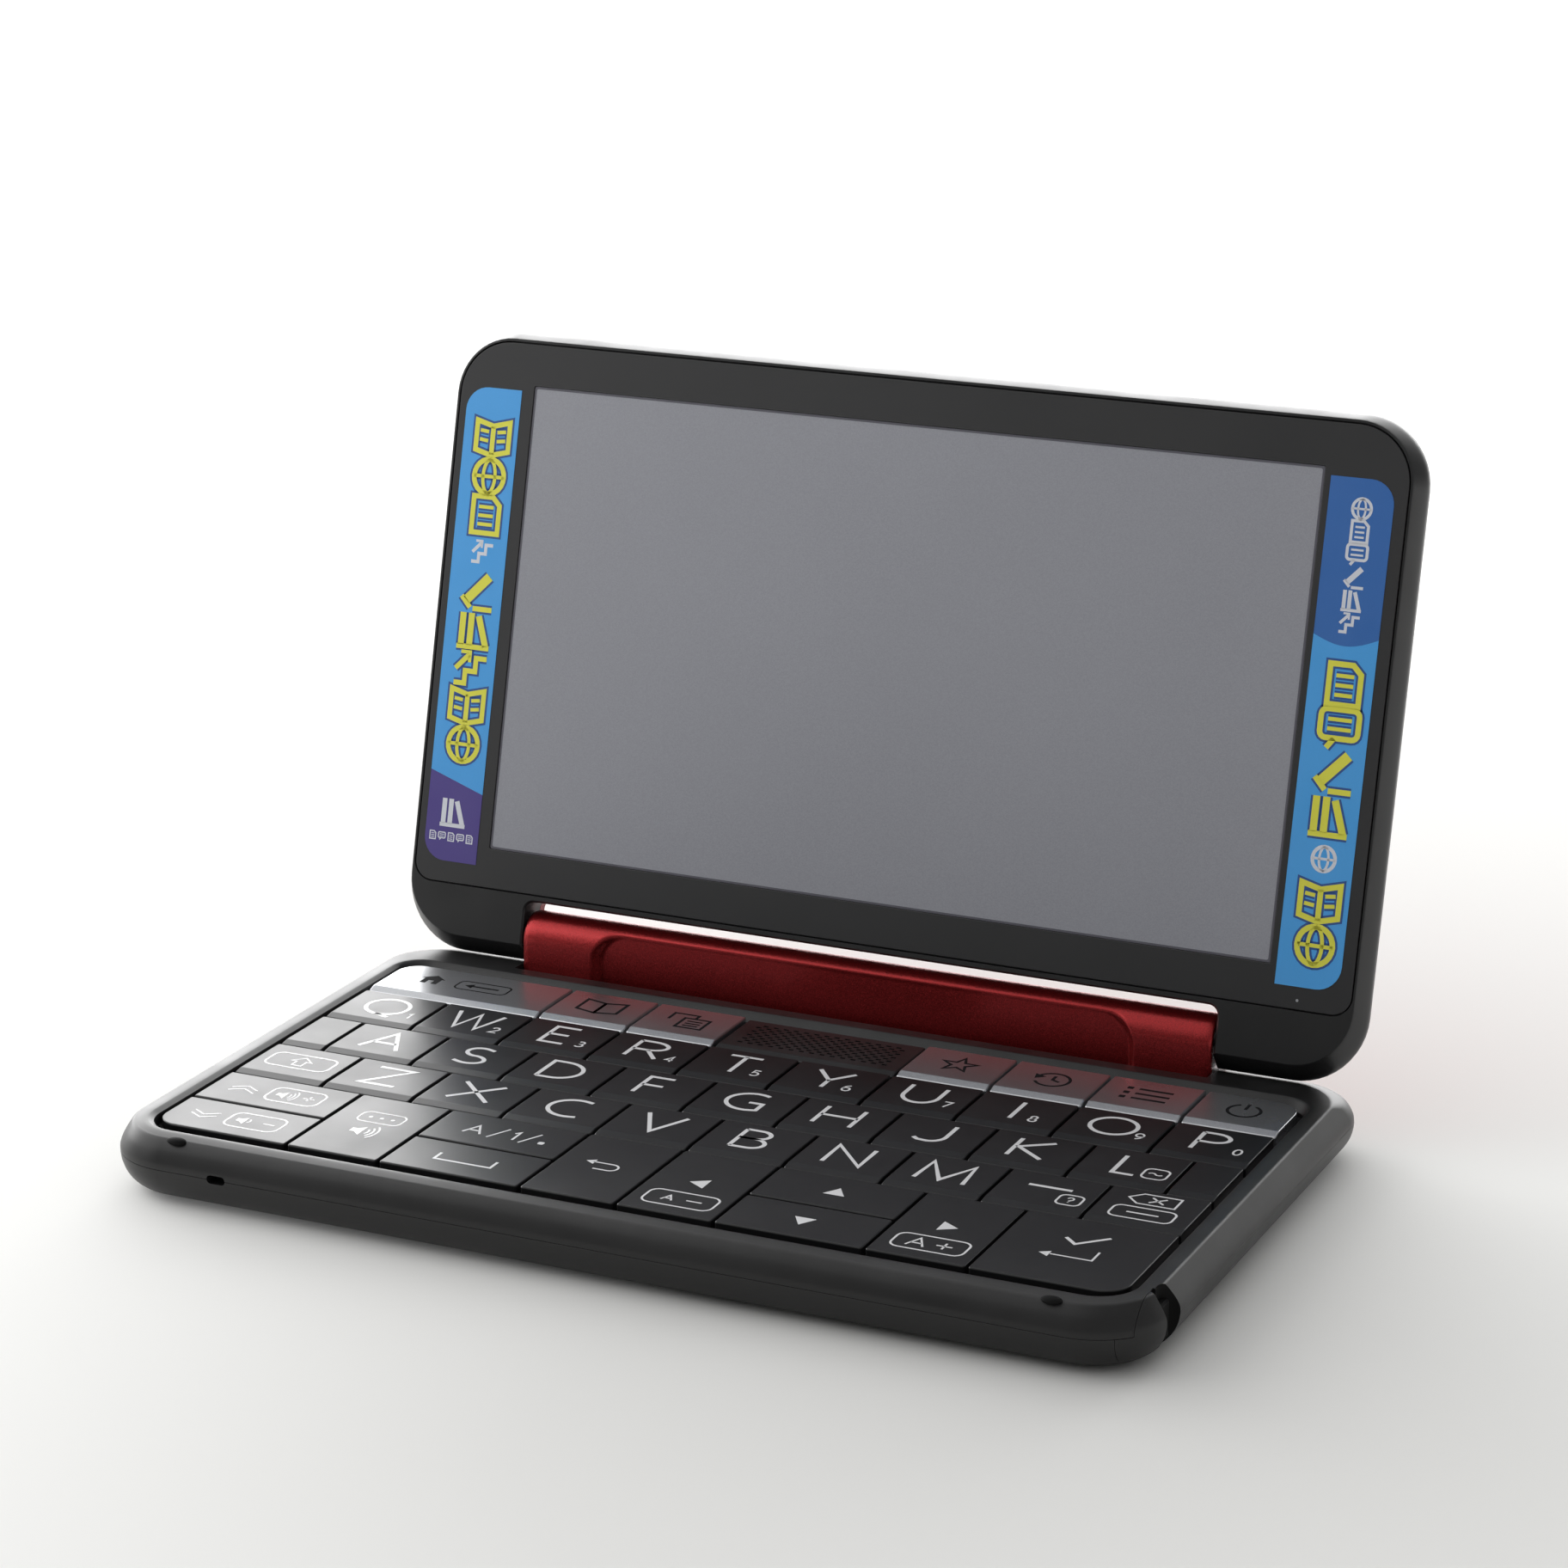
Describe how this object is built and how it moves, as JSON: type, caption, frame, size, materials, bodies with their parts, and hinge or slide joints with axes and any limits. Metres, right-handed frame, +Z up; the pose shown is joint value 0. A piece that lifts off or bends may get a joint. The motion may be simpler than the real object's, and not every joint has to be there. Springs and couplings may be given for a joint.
{
  "type": "electronic dictionary",
  "caption": "Pocket electronic dictionary with a keyboard base, a display lid on a two-axis red hinge barrel that folds right round, and a stylus kept in the base's side.",
  "frame": {"origin": "on the table under the middle of the open dictionary", "axes": "+X to the right along the keyboard, +Y away from the user towards the lid, +Z up"},
  "size_m": [0.151, 0.1128, 0.1],
  "materials": {
    "dark_case_plastic": "fine satin texture",
    "bezel_plastic": "fine matte texture",
    "dark_key_plastic": "satin",
    "silver_key_plastic": "satin metallic coat",
    "red_metallic_paint": "satin metallic paint",
    "display_screen": "anti-glare, switched off",
    "circuit_board": "solder mask",
    "battery_foil": "foil wrap",
    "hinge_steel": "turned"
  },
  "bodies": {
    "base": {"base_upper_case": "dark_case_plastic", "base_lower_case": "dark_case_plastic", "circuit_board": "circuit_board", "battery_pack": "battery_foil", "battery_cover": "dark_case_plastic"},
    "barrel": {"barrel_shell": "red_metallic_paint", "hinge_unit_left": "hinge_steel", "hinge_unit_right": "hinge_steel"},
    "lid": {"lid_frame": "dark_case_plastic", "bezel_panel": "bezel_plastic", "display_panel": "display_screen", "lid_back_cover": "red_metallic_paint"},
    "stylus": {"stylus": "dark_case_plastic"},
    "key_home": {"key_home": "silver_key_plastic"},
    "key_subject_1": {"key_subject_1": "silver_key_plastic"},
    "key_subject_2": {"key_subject_2": "silver_key_plastic"},
    "key_my_list": {"key_my_list": "silver_key_plastic"},
    "key_history": {"key_history": "silver_key_plastic"},
    "key_contents": {"key_contents": "silver_key_plastic"},
    "key_power": {"key_power": "silver_key_plastic"},
    "key_shift": {"key_shift": "dark_key_plastic"},
    "key_long_dash": {"key_long_dash": "dark_key_plastic"},
    "key_delete": {"key_delete": "dark_key_plastic"},
    "key_page_up": {"key_page_up": "dark_key_plastic"},
    "key_page_down": {"key_page_down": "dark_key_plastic"},
    "key_voice": {"key_voice": "dark_key_plastic"},
    "key_letter_mode": {"key_letter_mode": "dark_key_plastic"},
    "key_space": {"key_space": "dark_key_plastic"},
    "key_back": {"key_back": "dark_key_plastic"},
    "key_left": {"key_left": "dark_key_plastic"},
    "key_up": {"key_up": "dark_key_plastic"},
    "key_down": {"key_down": "dark_key_plastic"},
    "key_right": {"key_right": "dark_key_plastic"},
    "key_enter": {"key_enter": "dark_key_plastic"},
    "key_q": {"key_q": "dark_key_plastic"},
    "key_w": {"key_w": "dark_key_plastic"},
    "key_e": {"key_e": "dark_key_plastic"},
    "key_r": {"key_r": "dark_key_plastic"},
    "key_t": {"key_t": "dark_key_plastic"},
    "key_y": {"key_y": "dark_key_plastic"},
    "key_u": {"key_u": "dark_key_plastic"},
    "key_i": {"key_i": "dark_key_plastic"},
    "key_o": {"key_o": "dark_key_plastic"},
    "key_p": {"key_p": "dark_key_plastic"},
    "key_a": {"key_a": "dark_key_plastic"},
    "key_s": {"key_s": "dark_key_plastic"},
    "key_d": {"key_d": "dark_key_plastic"},
    "key_f": {"key_f": "dark_key_plastic"},
    "key_g": {"key_g": "dark_key_plastic"},
    "key_h": {"key_h": "dark_key_plastic"},
    "key_j": {"key_j": "dark_key_plastic"},
    "key_k": {"key_k": "dark_key_plastic"},
    "key_l": {"key_l": "dark_key_plastic"},
    "key_z": {"key_z": "dark_key_plastic"},
    "key_x": {"key_x": "dark_key_plastic"},
    "key_c": {"key_c": "dark_key_plastic"},
    "key_v": {"key_v": "dark_key_plastic"},
    "key_b": {"key_b": "dark_key_plastic"},
    "key_n": {"key_n": "dark_key_plastic"},
    "key_m": {"key_m": "dark_key_plastic"}
  },
  "joints": [
    {"name": "barrel_hinge", "type": "hinge", "parent": "base", "child": "barrel", "pos_m": [0, 0.03262, 0.00457], "axis": [-1, 0, 0], "range_deg": [0, 180]},
    {"name": "lid_hinge", "type": "hinge", "parent": "barrel", "child": "lid", "pos_m": [0, 0.03262, 0.01357], "axis": [-1, 0, 0], "range_deg": [-103.6, 76.4]},
    {"name": "stylus_slide", "type": "slide", "parent": "base", "child": "stylus", "axis": [0, -1, 0], "range_m": [0, 0.076]},
    {"name": "key_home_press", "type": "slide", "parent": "base", "child": "key_home", "axis": [0, 0, -1], "range_m": [0, 0.0008], "stiffness_N_per_m": 500},
    {"name": "key_subject_1_press", "type": "slide", "parent": "base", "child": "key_subject_1", "axis": [0, 0, -1], "range_m": [0, 0.0008], "stiffness_N_per_m": 500},
    {"name": "key_subject_2_press", "type": "slide", "parent": "base", "child": "key_subject_2", "axis": [0, 0, -1], "range_m": [0, 0.0008], "stiffness_N_per_m": 500},
    {"name": "key_my_list_press", "type": "slide", "parent": "base", "child": "key_my_list", "axis": [0, 0, -1], "range_m": [0, 0.0008], "stiffness_N_per_m": 500},
    {"name": "key_history_press", "type": "slide", "parent": "base", "child": "key_history", "axis": [0, 0, -1], "range_m": [0, 0.0008], "stiffness_N_per_m": 500},
    {"name": "key_contents_press", "type": "slide", "parent": "base", "child": "key_contents", "axis": [0, 0, -1], "range_m": [0, 0.0008], "stiffness_N_per_m": 500},
    {"name": "key_power_press", "type": "slide", "parent": "base", "child": "key_power", "axis": [0, 0, -1], "range_m": [0, 0.0008], "stiffness_N_per_m": 500},
    {"name": "key_shift_press", "type": "slide", "parent": "base", "child": "key_shift", "axis": [0, 0, -1], "range_m": [0, 0.0008], "stiffness_N_per_m": 500},
    {"name": "key_long_dash_press", "type": "slide", "parent": "base", "child": "key_long_dash", "axis": [0, 0, -1], "range_m": [0, 0.0008], "stiffness_N_per_m": 500},
    {"name": "key_delete_press", "type": "slide", "parent": "base", "child": "key_delete", "axis": [0, 0, -1], "range_m": [0, 0.0008], "stiffness_N_per_m": 500},
    {"name": "key_page_up_press", "type": "slide", "parent": "base", "child": "key_page_up", "axis": [0, 0, -1], "range_m": [0, 0.0008], "stiffness_N_per_m": 500},
    {"name": "key_page_down_press", "type": "slide", "parent": "base", "child": "key_page_down", "axis": [0, 0, -1], "range_m": [0, 0.0008], "stiffness_N_per_m": 500},
    {"name": "key_voice_press", "type": "slide", "parent": "base", "child": "key_voice", "axis": [0, 0, -1], "range_m": [0, 0.0008], "stiffness_N_per_m": 500},
    {"name": "key_letter_mode_press", "type": "slide", "parent": "base", "child": "key_letter_mode", "axis": [0, 0, -1], "range_m": [0, 0.0008], "stiffness_N_per_m": 500},
    {"name": "key_space_press", "type": "slide", "parent": "base", "child": "key_space", "axis": [0, 0, -1], "range_m": [0, 0.0008], "stiffness_N_per_m": 500},
    {"name": "key_back_press", "type": "slide", "parent": "base", "child": "key_back", "axis": [0, 0, -1], "range_m": [0, 0.0008], "stiffness_N_per_m": 500},
    {"name": "key_left_press", "type": "slide", "parent": "base", "child": "key_left", "axis": [0, 0, -1], "range_m": [0, 0.0008], "stiffness_N_per_m": 500},
    {"name": "key_up_press", "type": "slide", "parent": "base", "child": "key_up", "axis": [0, 0, -1], "range_m": [0, 0.0008], "stiffness_N_per_m": 500},
    {"name": "key_down_press", "type": "slide", "parent": "base", "child": "key_down", "axis": [0, 0, -1], "range_m": [0, 0.0008], "stiffness_N_per_m": 500},
    {"name": "key_right_press", "type": "slide", "parent": "base", "child": "key_right", "axis": [0, 0, -1], "range_m": [0, 0.0008], "stiffness_N_per_m": 500},
    {"name": "key_enter_press", "type": "slide", "parent": "base", "child": "key_enter", "axis": [0, 0, -1], "range_m": [0, 0.0008], "stiffness_N_per_m": 500},
    {"name": "key_q_press", "type": "slide", "parent": "base", "child": "key_q", "axis": [0, 0, -1], "range_m": [0, 0.0008], "stiffness_N_per_m": 500},
    {"name": "key_w_press", "type": "slide", "parent": "base", "child": "key_w", "axis": [0, 0, -1], "range_m": [0, 0.0008], "stiffness_N_per_m": 500},
    {"name": "key_e_press", "type": "slide", "parent": "base", "child": "key_e", "axis": [0, 0, -1], "range_m": [0, 0.0008], "stiffness_N_per_m": 500},
    {"name": "key_r_press", "type": "slide", "parent": "base", "child": "key_r", "axis": [0, 0, -1], "range_m": [0, 0.0008], "stiffness_N_per_m": 500},
    {"name": "key_t_press", "type": "slide", "parent": "base", "child": "key_t", "axis": [0, 0, -1], "range_m": [0, 0.0008], "stiffness_N_per_m": 500},
    {"name": "key_y_press", "type": "slide", "parent": "base", "child": "key_y", "axis": [0, 0, -1], "range_m": [0, 0.0008], "stiffness_N_per_m": 500},
    {"name": "key_u_press", "type": "slide", "parent": "base", "child": "key_u", "axis": [0, 0, -1], "range_m": [0, 0.0008], "stiffness_N_per_m": 500},
    {"name": "key_i_press", "type": "slide", "parent": "base", "child": "key_i", "axis": [0, 0, -1], "range_m": [0, 0.0008], "stiffness_N_per_m": 500},
    {"name": "key_o_press", "type": "slide", "parent": "base", "child": "key_o", "axis": [0, 0, -1], "range_m": [0, 0.0008], "stiffness_N_per_m": 500},
    {"name": "key_p_press", "type": "slide", "parent": "base", "child": "key_p", "axis": [0, 0, -1], "range_m": [0, 0.0008], "stiffness_N_per_m": 500},
    {"name": "key_a_press", "type": "slide", "parent": "base", "child": "key_a", "axis": [0, 0, -1], "range_m": [0, 0.0008], "stiffness_N_per_m": 500},
    {"name": "key_s_press", "type": "slide", "parent": "base", "child": "key_s", "axis": [0, 0, -1], "range_m": [0, 0.0008], "stiffness_N_per_m": 500},
    {"name": "key_d_press", "type": "slide", "parent": "base", "child": "key_d", "axis": [0, 0, -1], "range_m": [0, 0.0008], "stiffness_N_per_m": 500},
    {"name": "key_f_press", "type": "slide", "parent": "base", "child": "key_f", "axis": [0, 0, -1], "range_m": [0, 0.0008], "stiffness_N_per_m": 500},
    {"name": "key_g_press", "type": "slide", "parent": "base", "child": "key_g", "axis": [0, 0, -1], "range_m": [0, 0.0008], "stiffness_N_per_m": 500},
    {"name": "key_h_press", "type": "slide", "parent": "base", "child": "key_h", "axis": [0, 0, -1], "range_m": [0, 0.0008], "stiffness_N_per_m": 500},
    {"name": "key_j_press", "type": "slide", "parent": "base", "child": "key_j", "axis": [0, 0, -1], "range_m": [0, 0.0008], "stiffness_N_per_m": 500},
    {"name": "key_k_press", "type": "slide", "parent": "base", "child": "key_k", "axis": [0, 0, -1], "range_m": [0, 0.0008], "stiffness_N_per_m": 500},
    {"name": "key_l_press", "type": "slide", "parent": "base", "child": "key_l", "axis": [0, 0, -1], "range_m": [0, 0.0008], "stiffness_N_per_m": 500},
    {"name": "key_z_press", "type": "slide", "parent": "base", "child": "key_z", "axis": [0, 0, -1], "range_m": [0, 0.0008], "stiffness_N_per_m": 500},
    {"name": "key_x_press", "type": "slide", "parent": "base", "child": "key_x", "axis": [0, 0, -1], "range_m": [0, 0.0008], "stiffness_N_per_m": 500},
    {"name": "key_c_press", "type": "slide", "parent": "base", "child": "key_c", "axis": [0, 0, -1], "range_m": [0, 0.0008], "stiffness_N_per_m": 500},
    {"name": "key_v_press", "type": "slide", "parent": "base", "child": "key_v", "axis": [0, 0, -1], "range_m": [0, 0.0008], "stiffness_N_per_m": 500},
    {"name": "key_b_press", "type": "slide", "parent": "base", "child": "key_b", "axis": [0, 0, -1], "range_m": [0, 0.0008], "stiffness_N_per_m": 500},
    {"name": "key_n_press", "type": "slide", "parent": "base", "child": "key_n", "axis": [0, 0, -1], "range_m": [0, 0.0008], "stiffness_N_per_m": 500},
    {"name": "key_m_press", "type": "slide", "parent": "base", "child": "key_m", "axis": [0, 0, -1], "range_m": [0, 0.0008], "stiffness_N_per_m": 500}
  ]
}
